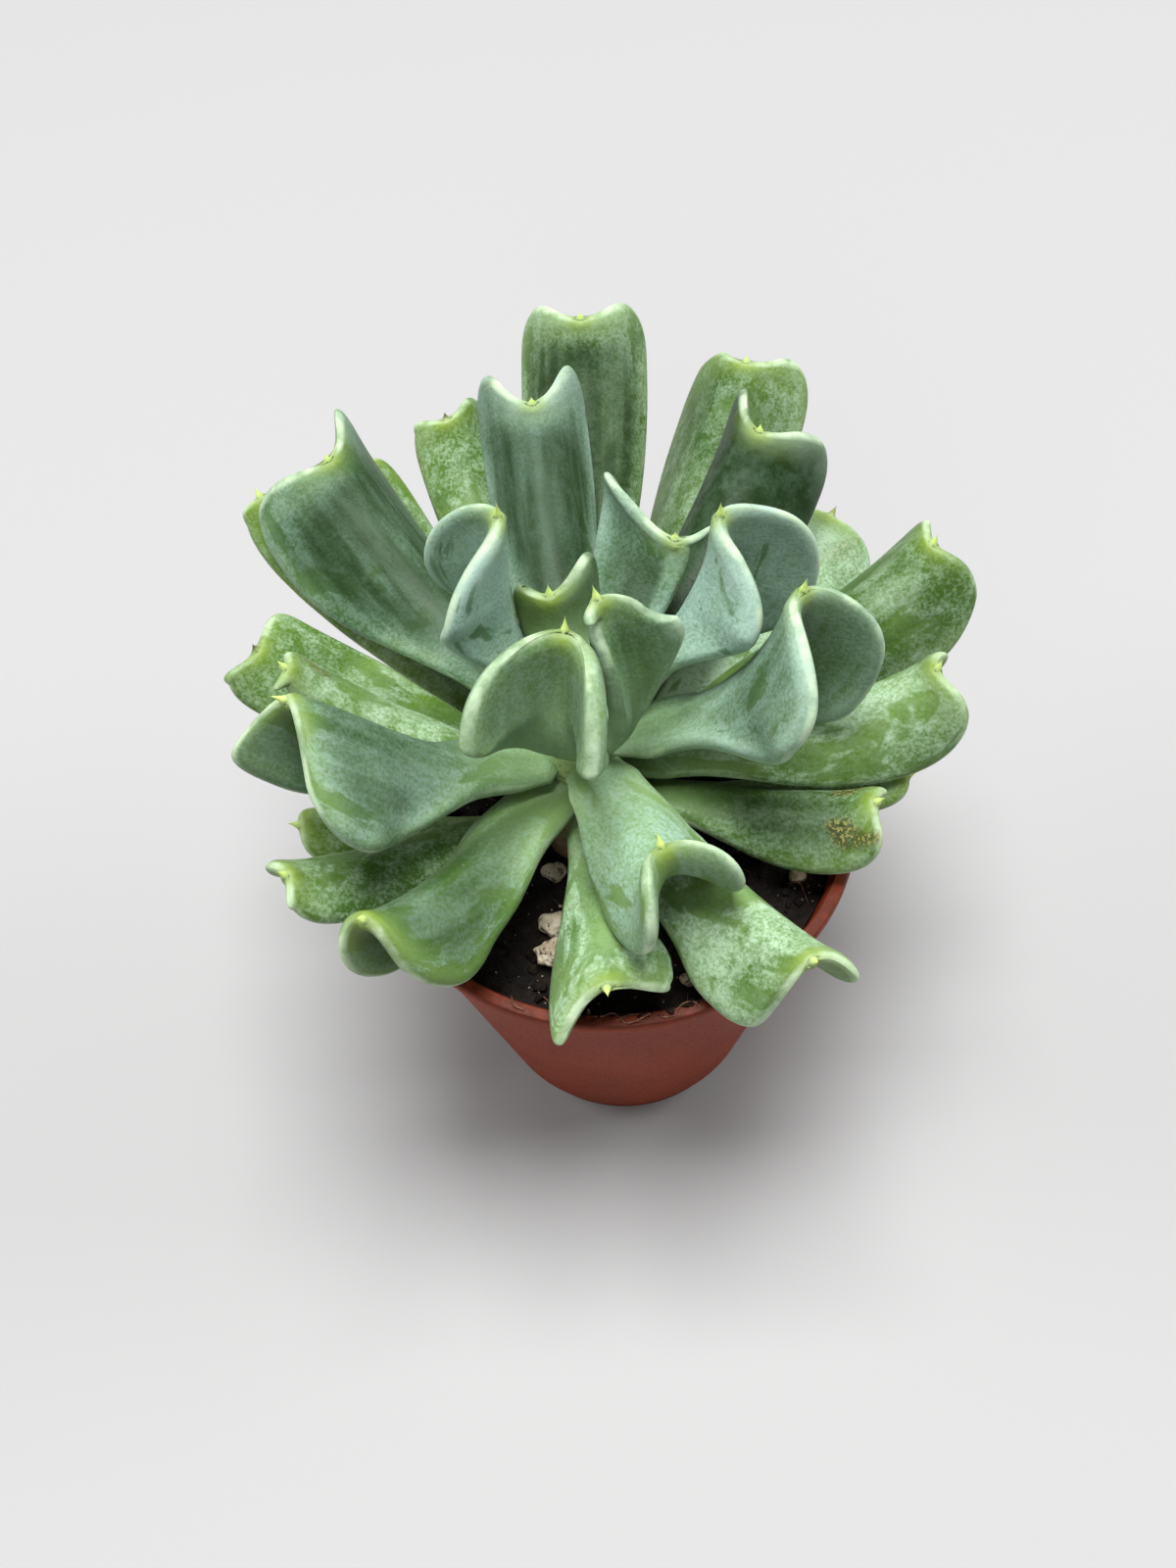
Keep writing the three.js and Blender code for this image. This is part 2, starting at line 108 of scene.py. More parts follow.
# Leaves from the heart down, each by its direction, the height it leaves the stem at, how far out and
# how high its tip is, its slope at the root and at the tip, half its width, and the fold of each half.
# Lime is how yellow-green the skin shows, rub how much of the waxy bloom is rubbed off, and the shade value
# after them how deep a green the middle of the blade is, partly painted shade set leaf by leaf for the
# shade the leaf lies in, or below 0 how chalky the blade is, partly painted light on leaves in shade. Scar
# is how corky the mark near the tip is, and dry how brown the spike is.
LEAVES = [
    dict(SPOON, az=99, foot=61, reach=11, top=68.7, rise=50, turn=80, half=7, fold=45, lobe=2,
         left=0.58, lobe_right=1, right=1.1, lime=0.2, rub=0.1, green_and_painted_shade=10.3),
    dict(HOOD, az=250, foot=60, reach=1, top=75.8, rise=65, turn=105, half=11.5, fold=50, curl=35,
         taper=1.6, shoulder=0.68, fold_left=8, neck=1.8, waist=2.6, sag=-5, left=0.95, right=1.05,
         square=3.2, thick=3.2, lobe_right=1, lime=0.6, rub=0.15, green_and_painted_shade=0.5),
    dict(HOOD, az=316, foot=59, reach=1.8, top=78.4, rise=60, turn=105, half=9.5, fold=45, curl=25,
         swing=2.5, taper=3, lobe=-1, left=0.78, sag=5, shoulder=0.5, right=0.3, lobe_left=-3.5,
         lime=0.15, rub=0.1, green_and_painted_shade=0.8),
    dict(HOOD, az=35, foot=58.9, reach=20, top=77.5, rise=20, turn=90, half=12, fold=55, roll=-60,
         left=1.15, shoulder=0.68, right=0.85, lime=0.1, rub=0.15, green_and_painted_shade=-0.7),
    dict(HOOD, az=130, foot=57.7, reach=12, top=81, rise=30, turn=95, half=9.5, fold=55, roll=60,
         swing=-2.2, taper=1.7, lime=0.05, rub=0.15, green_and_painted_shade=-0.9),
    dict(HOOD, az=291, foot=56.4, reach=20, top=63.2, rise=10, turn=120, half=9.5, fold=50, lobe=0,
         bend=8, shoulder=0.7, neck=3.2, waist=4, roll=10, lime=1, rub=0.8, green_and_painted_shade=-0.4),
    dict(HOOD, az=8, foot=56.3, reach=24, top=74, rise=5, turn=80, half=12, fold=55, roll=-60, neck=2,
         waist=3.4, lobe_right=2, lobe_left=1.5, shoulder=0.68, square=2.6, right=1.2, lime=0.15,
         rub=0.2, green_and_painted_shade=0.45),
    dict(STRAP, az=56, foot=55.8, reach=22, top=68, rise=35, turn=85, half=9, fold=50, lobe=1,
         lobe_left=4.5, left=1.15, right=0.2, roll=25, fold_left=-20, lobe_right=-1.5, lime=0.1,
         rub=0.15, green_and_painted_shade=0.85),
    dict(HOOD, az=185, foot=55.2, reach=28.7, top=71, rise=0, turn=35, half=11, fold=60, roll=45,
         shoulder=0.72, lobe=-1, taper=1.8, neck=2.6, waist=3.2, left=1.3, lobe_right=6.5,
         lobe_left=-1, square=2.6, curl=25, lime=0.3, rub=0.35, green_and_painted_shade=0.6),
    dict(STRAP, az=93, foot=54.6, reach=37, top=72.5, rise=30, turn=85, half=9.4, fold=55, lobe=3.2,
         taper=1, lime=0.05, rub=0.15, green_and_painted_shade=1),
    dict(SPOON, az=226, foot=53.2, reach=32, top=61.5, rise=-5, turn=60, half=8.2, fold=60, roll=10,
         neck=3, waist=3.2, fold_right=30, left=1.2, lobe_left=-5, shoulder=0.75, square=2,
         right=1.15, lime=0.9, rub=0.9, green_and_painted_shade=0.75),
    dict(STRAP, az=126, foot=53, reach=44, top=68, rise=10, turn=80, half=11, fold=50, lobe=3,
         left=1.1, lobe_left=-5, lobe_right=1.5, fold_left=-10, lime=0.25, rub=0.4, green_and_painted_shade=0.95),
    dict(STRAP, az=55, foot=52.8, reach=41, top=68.5, rise=12, turn=75, half=10, fold=55, lobe_left=4,
         right=1.1, lime=0.2, rub=0.2, green_and_painted_shade=10.05),
    dict(SPOON, az=5, foot=52.5, reach=39, top=60, rise=0, turn=70, half=9, fold=55, neck=1.8,
         waist=3, left=0.9, lime=0.6, rub=0.6, green_and_painted_shade=-0.5),
    dict(STRAP, az=307.2, foot=52, reach=35, top=54.5, rise=-5, turn=45, half=8, fold=45, neck=2,
         waist=3.2, lobe_left=0.5, lobe_right=-6, fold_left=20, right=1.2, lime=0.5, rub=0.8,
         green_and_painted_shade=-0.6),
    dict(SPOON, az=167, foot=50.5, reach=31, top=65.2, rise=12, turn=60, half=6.5, fold=45, left=0.34,
         lime=0.75, rub=0.6, green_and_painted_shade=-0.6, scar=0.5),
    dict(SPOON, az=271.5, foot=49.9, reach=27.3, top=51.8, rise=-5, turn=20, half=9, fold=50,
         fold_left=-20, waist=2.6, right=0.92, lobe_right=2.8, lobe_left=-3, taper=2.6, left=0.88,
         square=6, shoulder=0.86, lime=0.4, rub=0.9, green_and_painted_shade=-0.7),
    dict(STRAP, az=85, foot=49.8, reach=51.5, top=72.5, rise=12, turn=80, half=10.2, fold=45, lobe=1,
         taper=1, lime=0.24, rub=0.25, green_and_painted_shade=1),
    dict(SPOON, az=345, foot=49.8, reach=32, top=52.9, rise=-5, turn=50, half=7, fold=50, left=0.78,
         waist=2.6, lime=0.4, rub=0.6, green_and_painted_shade=0.8, scar=0.9),
    dict(SPOON, az=27, foot=49, reach=47, top=60.5, rise=5, turn=75, half=10, fold=45, fold_right=15,
         right=1.15, lobe_right=-1, lobe_left=2, lime=0.45, rub=0.5, green_and_painted_shade=0.5),
    dict(SPOON, az=205, foot=48.4, reach=34, top=57.7, rise=0, turn=60, half=7, fold=45, right=0.9,
         left=0.7, lime=0.35, rub=0.6, green_and_painted_shade=0.1),
    dict(SPOON, az=117, foot=48.2, reach=50, top=59.5, rise=10, turn=60, half=3.7, fold=45, lime=0.5,
         rub=0.5, green_and_painted_shade=0.6),
    dict(STRAP, az=64, foot=47.8, reach=55, top=65.5, rise=6, turn=75, half=10.5, fold=50, lobe=0.5,
         lobe_left=-2, left=1.2, lime=0.45, rub=0.6, green_and_painted_shade=0.5),
    dict(SPOON, az=357.5, foot=46, reach=36, top=48.2, rise=-5, turn=30, half=3.2, fold=45, lime=0.7,
         rub=0.5, green_and_painted_shade=0.3),
    dict(STRAP, az=156.5, foot=45.7, reach=38, top=59.5, rise=28, turn=70, half=7.5, fold=50,
         right=1.15, fold_right=-35, taper=0.8, left=0.78, lime=0.6, rub=0.6, green_and_painted_shade=0.4, dry=0.9),
    dict(SPOON, az=46, foot=45.6, reach=47, top=54, rise=5, turn=40, half=10, fold=45, lime=0.6,
         rub=0.4, green_and_painted_shade=-1, scar=0.3, dry=0.6),
    dict(STRAP, az=105, foot=45.5, reach=49, top=62.5, rise=12, turn=70, half=7, fold=50, left=0.78,
         lobe_right=2.5, right=1.1, lime=0.45, rub=0.6, green_and_painted_shade=0.1, dry=0.9),
    dict(SPOON, az=188, foot=44, reach=31, top=52.5, rise=-5, turn=30, half=4, fold=45, lime=0.9,
         rub=0.2, green_and_painted_shade=0),
    dict(SPOON, az=77, foot=43.3, reach=41, top=50.6, rise=5, turn=50, half=3.2, fold=45, lime=0.2,
         rub=0.2, green_and_painted_shade=0.8),
    dict(SPOON, az=129, foot=42.9, reach=51.5, top=61.3, rise=12, turn=60, half=6, fold=45, swing=3.5,
         taper=2.2, right=1.3, left=0.75, lime=0.5, rub=0.6, green_and_painted_shade=0.5),
]


# Modelling helpers

def mm(value):
    return value * 0.001


def linear(red, green, blue):
    """A colour as seen, 0 to 255, as the shader's linear colour."""
    seen = np.array((red, green, blue)) / 255
    light = np.where(seen <= 0.04045, seen / 12.92, ((seen + 0.055) / 1.055) ** 2.4)
    return (*light, 1)


def ease(x):
    x = np.clip(x, 0, 1)
    return x * x * (3 - 2 * x)


def start_with(primitive, name, **sizes):
    """Adds a primitive with nothing else selected."""
    bpy.ops.object.select_all(action="DESELECT")
    primitive(**sizes)
    piece = bpy.context.object
    piece.name = name
    piece.data.name = name
    return piece


def edit(piece, select_mode="FACE"):
    bpy.context.view_layer.objects.active = piece
    bpy.ops.object.mode_set(mode="EDIT")
    bpy.ops.mesh.select_mode(type=select_mode)


def done_editing():
    bpy.ops.object.mode_set(mode="OBJECT")


def select_where(piece, kind, test):
    """Selects the faces, edges or vertices whose middle, in millimetres, passes the test."""
    bpy.ops.mesh.select_all(action="DESELECT")
    bpy.ops.object.mode_set(mode="OBJECT")
    points = [vertex.co * 1000 for vertex in piece.data.vertices]
    for item in getattr(piece.data, kind):
        corners = [points[k] for k in item.vertices] if kind != "vertices" else [points[item.index]]
        item.select = test(sum(corners, Vector()) / len(corners))
    bpy.ops.object.mode_set(mode="EDIT")


def apply_place(piece):
    bpy.ops.object.select_all(action="DESELECT")
    piece.select_set(True)
    bpy.context.view_layer.objects.active = piece
    bpy.ops.object.transform_apply(location=True, rotation=True, scale=True)


def points_of(piece):
    flat = np.empty(3 * len(piece.data.vertices))
    piece.data.vertices.foreach_get("co", flat)
    return flat.reshape(-1, 3)


def move_points(piece, points):
    piece.data.vertices.foreach_set("co", np.asarray(points, float).ravel())
    piece.data.update()


def mark(piece, name, values):
    """Keeps a number, or three, for each point, for the piece's material."""
    kind = "FLOAT" if np.ndim(values) == 1 else "FLOAT_VECTOR"
    key = "value" if kind == "FLOAT" else "vector"
    attribute = piece.data.attributes.new(name, kind, "POINT")
    attribute.data.foreach_set(key, np.asarray(values, float).ravel())


def bumps(points, size, seed=0):
    """Smooth unevenness between about -1 and 1 at points in millimetres."""
    shift = Vector((seed * 7.3, seed * 3.1, seed * 5.7))
    return np.array([noise.noise(Vector(point) / size + shift) for point in points])


def finish_piece(piece, slot, skin, *nodes):
    """Gives the piece its material and body, and the solid that it stands for."""
    piece.data.materials.clear()
    piece.data.materials.append(skin)
    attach(piece, "root")
    if nodes:
        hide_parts(*nodes)
    return piece


# Leaves

def midrib_of(leaf):
    """Places and directions along the midrib by share of its length, and the length."""
    rise = math.radians(leaf["rise"])
    turn = math.radians(leaf["turn"])
    stem = np.interp(leaf["foot"], (SOIL_TOP, STEM_TOP), (STEM_FOOT_RADIUS, STEM_TOP_RADIUS))
    root = stem + GAP + 0.5 * ROOT_THICK * abs(math.sin(rise))
    start = np.array((root, 0, leaf["foot"]))
    end = np.array((leaf["reach"], leaf["swing"], leaf["top"]))
    out = np.array((math.cos(rise), 0, math.sin(rise)))
    up = np.array((math.cos(turn), 0, math.sin(turn)))
    handles = (start, start + out * ROOT_HANDLE * np.linalg.norm(end - start), end - up * leaf["bend"], end)
    t = np.linspace(0, 1, 401)[:, None]
    line = (handles[0] * (1 - t) ** 3 + 3 * handles[1] * t * (1 - t) ** 2
            + 3 * handles[2] * t ** 2 * (1 - t) + handles[3] * t ** 3)
    walked = np.concatenate(([0], np.cumsum(np.linalg.norm(np.diff(line, axis=0), axis=1))))
    length = walked[-1]
    heading = np.gradient(line, walked, axis=0)
    heading /= np.linalg.norm(heading, axis=1)[:, None]

    def at(values, share):
        return np.stack([np.interp(share * length, walked, values[:, k]) for k in range(3)], axis=-1)

    return (lambda share: at(line, share)), (lambda share: at(heading, share)), length


def rows_of(leaf):
    """Shares of the length at which the rows of the blade lie, crowded where the end turns round."""
    shoulder, square = leaf["shoulder"], leaf["square"]
    body = np.linspace(0, shoulder, BLADE_ROWS, endpoint=False)
    last = math.acos(min(1, (SPIKE_RADIUS / leaf["half"]) ** (square / 2)))
    round_end = np.sin(np.linspace(0, last, END_ROWS)) ** (2 / square)
    return np.concatenate((body, shoulder + (1 - shoulder) * round_end))


def half_width(leaf, s):
    base = leaf["neck"] + (leaf["waist"] - leaf["neck"]) * ease(s / WAIST_AT)
    widening = np.sin(math.pi / 2 * np.minimum(s / leaf["shoulder"], 1)) ** (2 * leaf["taper"])
    ending = np.clip((s - leaf["shoulder"]) / (1 - leaf["shoulder"]), 0, 1)
    closing = (1 - ending ** leaf["square"]) ** (1 / leaf["square"])
    return (base + (leaf["half"] - base) * widening) * closing


def folded_half(leaf, s, away, hand, length):
    """One half of every row: how far out, down and forward its points lie, its slope and half thickness,
    and how far the points are from the margin."""
    side = "left" if hand > 0 else "right"
    ending = (s - leaf["shoulder"]) / (1 - leaf["shoulder"])
    share = leaf[side] + (1 - leaf[side]) * ease((ending - 0.8) / 0.2)
    folding = ease((s - FOLD_FROM) / FOLD_OVER)
    fold = np.radians(leaf["fold"] + leaf["fold_" + side]) * folding
    curl = np.radians(leaf["curl"]) * folding
    width = half_width(leaf, s)
    arc = (width * share)[:, None]
    u = np.linspace(0, 1, ARC_STEPS + 1)[None, :]
    angle = fold[:, None] * np.tanh(arc * u / RIDGE_ROUND) + curl[:, None] * u ** 3
    middle = 0.5 * (angle[:, 1:] + angle[:, :-1])
    nothing = np.zeros((len(s), 1))
    out = np.hstack((nothing, np.cumsum(np.cos(middle), axis=1))) * arc / ARC_STEPS
    down = np.hstack((nothing, np.cumsum(np.sin(middle), axis=1))) * arc / ARC_STEPS
    low = np.minimum((away * ARC_STEPS).astype(int), ARC_STEPS - 1)
    part = away * ARC_STEPS - low

    def pick(table):
        return table[:, low] * (1 - part) + table[:, low + 1] * part

    lobe = leaf["lobe"] + leaf["lobe_" + side]
    shift = lobe * ease((s - LOBE_FROM) / LOBE_OVER) + leaf["sag"] * 4 * s * (1 - s)
    lateral = away[None, :] * width[:, None] / leaf["half"]
    forward = shift[:, None] * lateral ** LOBE_POWER

    square = leaf["square"]
    end_at = (1 - np.minimum(lateral, 1) ** square) ** (1 / square)
    to_end = np.maximum((end_at - ending[:, None]) * (1 - leaf["shoulder"]) * length, 1e-4)
    to_side = np.maximum((1 - away[None, :]) * arc, 1e-4)
    margin = to_side * to_end / np.hypot(to_side, to_end)
    edge = np.minimum(EDGE_ROUND, arc * 0.6)
    into_edge = 1 - np.minimum(margin / edge, 1)
    thick = (ROOT_THICK + (leaf["thick"] - ROOT_THICK) * ease(4 * s)) * (1 - TIP_THINNING * s)
    depth = 0.5 * thick[:, None] * np.sqrt(1 - into_edge ** 2)
    keel = SPIKE_RADIUS * ease(((s[:, None] - 1) * length + SPIKE_KEEL) / 1.6)
    lateral_mm = away[None, :] * arc
    depth = np.hypot(depth, np.sqrt(np.maximum(keel ** 2 - lateral_mm ** 2, 0)))
    depth = depth * np.where(away[None, :] > 0.9999, 0, 1)
    return pick(out), pick(down), forward, pick(angle), depth, margin, lateral_mm


def leaf_piece(number, leaf, skin):
    """A closed ball of rows, poles at the root and the tip, is drawn out into the folded blade."""
    blade_rows = BLADE_ROWS + END_ROWS
    rings = blade_rows + SPIKE_ROWS + 1
    name = f"echeveria_leaf_{number:02d}"
    piece = start_with(bpy.ops.mesh.primitive_uv_sphere_add, name, segments=ROUND, ring_count=rings)
    ball = points_of(piece)
    row = np.rint(np.arccos(np.clip(-ball[:, 2], -1, 1)) / math.pi * rings).astype(int)
    turn = np.arctan2(ball[:, 1], ball[:, 0])
    spoke = np.rint(turn / (2 * math.pi) * ROUND).astype(int) % ROUND

    place_at, heading_at, length = midrib_of(leaf)
    s = rows_of(leaf)
    centre, along = place_at(s), heading_at(s)
    flat = np.array((0, 1, 0)) - along * along[:, 1:2]
    flat /= np.linalg.norm(flat, axis=1)[:, None]
    roll = (np.radians(leaf["roll"]) * ease(s / ROLL_BY))[:, None]
    side = flat * np.cos(roll) + np.cross(along, flat) * np.sin(roll)
    above = np.cross(along, side)

    phi = 2 * math.pi * np.arange(ROUND) / ROUND
    away = np.abs(np.cos(phi))
    upward = np.sin(phi)
    face = np.where(np.abs(upward) < 1e-6, 0, np.sign(upward))
    grid = np.zeros((rings + 1, ROUND, 3))
    marks = {key: np.zeros((rings + 1, ROUND)) for key in ("rim", "tip", "root", "face", "across")}
    for hand in (1, -1):
        mine = np.cos(phi) * hand >= -1e-9
        out, down, forward, angle, depth, margin, lateral = folded_half(leaf, s, away[mine], hand, length)
        lift = depth * face[mine]
        sideways = hand * (out + lift * np.sin(angle))
        upwards = lift * np.cos(angle) - down
        blade = (centre[:, None] + side[:, None] * sideways[..., None]
                 + above[:, None] * upwards[..., None] + along[:, None] * forward[..., None])
        grid[1:blade_rows + 1, mine] = blade
        marks["rim"][1:blade_rows + 1, mine] = margin
        marks["tip"][1:blade_rows + 1, mine] = np.hypot(lateral, (1 - s)[:, None] * length)
        marks["across"][1:blade_rows + 1, mine] = hand * lateral
    for k in range(SPIKE_ROWS + 1):
        q = (k + 1) / (SPIKE_ROWS + 1)
        radius = SPIKE_RADIUS * (1 - q) ** 1.5
        point = place_at(np.array([1.0]))[0] + along[-1] * leaf["spike"] * q
        ring = side[-1] * np.cos(phi)[:, None] + above[-1] * upward[:, None]
        grid[blade_rows + 1 + k] = point + ring * radius
        marks["tip"][blade_rows + 1 + k] = -leaf["spike"] * q
    grid[0] = centre[0] - along[0] * ROOT_SUNK
    marks["face"][:] = upward
    marks["root"][1:blade_rows + 1] = (s * length)[:, None]
    marks["root"][blade_rows + 1:] = length

    points = grid[row, spoke]
    rim = marks["rim"][row, spoke]
    normal_side = marks["face"][row, spoke]
    swell = 0.22 * bumps(points, 9, number) + 0.07 * bumps(points, 3, number + 40)
    steady = ease(marks["tip"][row, spoke] / 3) * ease(marks["root"][row, spoke] / 4)
    wave = 0.3 * bumps(points * (1, 1, 0.6), 6, number + 80) * (1 - ease(rim / 3))
    points = points + above[np.clip(row - 1, 0, blade_rows - 1)] * ((swell * 0.6 + wave) * steady)[:, None]

    azimuth = Matrix.Rotation(math.radians(leaf["az"]), 3, "Z")
    points = points @ np.array(azimuth).T + (HEART_X, 0, 0)
    move_points(piece, mm(points))
    mark(piece, "rim", rim)
    mark(piece, "tip", marks["tip"][row, spoke])
    mark(piece, "root", marks["root"][row, spoke])
    mark(piece, "face", normal_side)
    across = marks["across"][row, spoke]
    mark(piece, "grain", np.stack((across, marks["root"][row, spoke], 9 * normal_side + 13 * number), -1))
    for key in ("lime", "rub", "green_and_painted_shade", "scar", "dry"):
        mark(piece, key, np.full(len(rim), leaf[key]))
    bpy.ops.object.shade_smooth()
    slot = "bloom_leaf" if number <= BLOOM_COUNT else "green_leaf"
    return finish_piece(piece, slot, skin, f"leaf_{number:02d}")


# Materials

def blank_material(name):
    skin = bpy.data.materials.new(name)
    skin.use_nodes = True
    return skin, skin.node_tree, skin.node_tree.nodes["Principled BSDF"]


def add(tree, kind, inputs=(), **settings):
    """Adds a node; each input takes a number, a colour or another node's output."""
    node = tree.nodes.new(kind)
    for key, value in settings.items():
        setattr(node, key, value)
    for key, value in dict(inputs).items():
        if isinstance(value, bpy.types.NodeSocket):
            tree.links.new(value, node.inputs[key])
        else:
            node.inputs[key].default_value = value
    return node


def millimetres(tree, stretch=(1, 1, 1)):
    """Object coordinates in millimetres."""
    at = add(tree, "ShaderNodeTexCoord").outputs["Object"]
    scale = [1000 * share for share in stretch]
    return add(tree, "ShaderNodeMapping", {"Vector": at, "Scale": scale}).outputs["Vector"]


def attribute(tree, name):
    node = add(tree, "ShaderNodeAttribute", attribute_name=name)
    return node.outputs["Vector" if name == "grain" else "Fac"]


def patches(tree, at, size, detail=2, rough=0.5, warp=0):
    """Noise with features of a size in millimetres, about 0 to 1."""
    inputs = {"Vector": at, "Scale": 1 / size, "Detail": detail, "Roughness": rough, "Distortion": warp}
    return add(tree, "ShaderNodeTexNoise", inputs).outputs["Fac"]


def step(tree, value, low, high, start=0, end=1):
    """Goes smoothly from start to end while the value goes from low to high."""
    inputs = {"Value": value, "From Min": low, "From Max": high, "To Min": start, "To Max": end}
    return add(tree, "ShaderNodeMapRange", inputs, interpolation_type="SMOOTHSTEP").outputs["Result"]


def maths(tree, operation, first, second, clamp=False):
    node = add(tree, "ShaderNodeMath", {0: first, 1: second}, operation=operation, use_clamp=clamp)
    return node.outputs["Value"]


def times(tree, *values):
    product = values[0]
    for value in values[1:]:
        product = maths(tree, "MULTIPLY", product, value)
    return product


def tint(tree, share, below, above, blend="MIX"):
    """Colour above over colour below, by a share."""
    node = add(tree, "ShaderNodeMix", {"Factor": share}, data_type="RGBA", blend_type=blend)
    for key, colour in ((6, below), (7, above)):
        if isinstance(colour, bpy.types.NodeSocket):
            tree.links.new(colour, node.inputs[key])
        else:
            node.inputs[key].default_value = colour
    return node.outputs[2]


def raise_relief(tree, surface, *layers):
    """Bumps of the given depth in millimetres, coarse to fine."""
    normal = None
    for height, depth in layers:
        inputs = {"Height": height, "Distance": mm(depth), "Strength": 1}
        if normal:
            inputs["Normal"] = normal
        normal = add(tree, "ShaderNodeBump", inputs).outputs["Normal"]
    tree.links.new(normal, surface.inputs["Normal"])


def leaf_skin(name, green, lime_green, bloom, cover, blotch, grit):
    """Fleshy skin: green to lime below, a whitish waxy bloom over it that is rubbed off in patches, a deep
    green middle that is partly painted shade, pale rims that are partly painted highlight, painted shade on
    the under side, a pale root and a cream spike."""
    skin, tree, surface = blank_material(name)
    at = millimetres(tree)
    grain = attribute(tree, "grain")
    rim, tip, root, face = (attribute(tree, key) for key in ("rim", "tip", "root", "face"))
    lime, rub, green_and_painted_shade, scar, dry = (attribute(tree, key) for key in ("lime", "rub", "green_and_painted_shade", "scar", "dry"))
    streaks_at = add(tree, "ShaderNodeMapping", {"Vector": grain, "Scale": (1, 0.12, 1)}).outputs["Vector"]

    # skin colour
    cloud = patches(tree, at, 11, 2)
    limed = maths(tree, "ADD", lime, step(tree, cloud, 0.35, 0.65, -0.3, 0.3), clamp=True)
    colour = tint(tree, limed, green, lime_green)
    deep = times(tree, step(tree, patches(tree, at, 5, 3, 0.6), 0.5, 0.75), blotch)
    colour = tint(tree, deep, colour, linear(58, 85, 38))

    # waxy bloom, thicker in drifts and lengthwise streaks, missing where it was rubbed or flecked off
    streaks = patches(tree, streaks_at, 1.6, 2, 0.5)
    mottle = patches(tree, at, 1.8, 4, 0.65)
    fine = patches(tree, at, 0.4, 3, 0.6)
    uneven = times(tree, step(tree, mottle, 0.35, 0.65, -0.5, 0.5), blotch)
    powder = maths(tree, "ADD", uneven, cover)
    powder = maths(tree, "ADD", powder, step(tree, streaks, 0.35, 0.65, -0.07, 0.07))
    powder = maths(tree, "ADD", powder, step(tree, cloud, 0.3, 0.7, -0.15, 0.2))
    # painted light: a shade value below 0 thickens the pale bloom, lightening the leaves that lie in shade
    powder = maths(tree, "ADD", powder, step(tree, green_and_painted_shade, -1, 0, 0.5, 0))
    powder = maths(tree, "ADD", powder, step(tree, fine, 0.35, 0.65, -grit, grit), clamp=True)
    rubbed_at = add(tree, "ShaderNodeMapping", {"Vector": grain, "Scale": (1, 0.5, 1)}).outputs["Vector"]
    worn = patches(tree, rubbed_at, 6, 4, 0.6, 0.5)
    worn = maths(tree, "ADD", worn, maths(tree, "MULTIPLY", rub, 0.15))
    worn = step(tree, worn, 0.62, 0.68, 0, 0.75)
    flecks = patches(tree, at, 0.45, 2, 0.5)
    flecks = maths(tree, "ADD", flecks, maths(tree, "MULTIPLY", rub, 0.12))
    flecks = step(tree, flecks, 0.62, 0.74, 0, 0.5)
    bare = maths(tree, "MAXIMUM", worn, flecks)
    powder = times(tree, powder, maths(tree, "SUBTRACT", 1, bare))
    colour = tint(tree, powder, colour, bloom)
    dust = times(tree, step(tree, patches(tree, at, 0.3, 2, 0.5), 0.66, 0.72), rub)
    colour = tint(tree, times(tree, dust, 0.6), colour, linear(159, 171, 157))

    # deep green middle of the blade, partly painted shade: darker away from the margins, as deep as each
    # leaf's shade value
    depth = maths(tree, "MAXIMUM", green_and_painted_shade, 0)
    middle = times(tree, step(tree, rim, 0.5, 4.4, 0.1, 1), step(tree, streaks, 0.3, 0.7, 1, 0.75), depth)
    middle = maths(tree, "MINIMUM", middle, step(tree, mottle, 0.35, 0.65, 1, 0.86))
    colour = tint(tree, middle, colour, linear(25, 47, 17))

    # pale rims, partly painted highlight, then the lime notch and the pale root
    notch = times(tree, step(tree, tip, 1, 7, 1, 0), step(tree, rim, 0.3, 3.5, 1, 0))
    colour = tint(tree, times(tree, notch, 0.5), colour, linear(98, 121, 38))
    edge_colour = tint(tree, step(tree, lime, 0.08, 0.32), linear(164, 188, 180), linear(107, 131, 63))
    # partly painted highlight: a pale bluish or lime band within 2.6 mm of the margins, partly the rim's
    # own colour
    rim_band_highlight = times(tree, step(tree, rim, 0.5, 2.6, 1, 0), step(tree, cloud, 0.35, 0.65, 0, 0.4))
    colour = tint(tree, rim_band_highlight, colour, edge_colour)
    # a whitish lip on the margin itself, partly its own pale colour and partly painted highlight
    uneven_rim_highlight = step(tree, patches(tree, at, 3, 3), 0.35, 0.65, 0.15, 0.8)
    pale_rim_highlight = times(tree, step(tree, rim, 0.05, 0.45, 1, 0), uneven_rim_highlight)
    colour = tint(tree, pale_rim_highlight, colour, linear(184, 204, 172))
    colour = tint(tree, step(tree, root, 1, 15, 0.5, 0), colour, linear(122, 152, 96))

    # painted shade on the hollow under side, then the spike and its lime foot
    painted_under_shade = step(tree, face, -0.35, 0.1, 1, 0)
    colour = tint(tree, times(tree, painted_under_shade, 0.3), colour, linear(74, 100, 50))
    colour = tint(tree, step(tree, tip, 0.3, 2.2, 0.6, 0), colour, linear(121, 143, 57))
    spike_colour = tint(tree, dry, linear(182, 206, 116), linear(46, 32, 22))
    colour = tint(tree, step(tree, tip, -0.6, 0.1, 1, 0), colour, spike_colour)

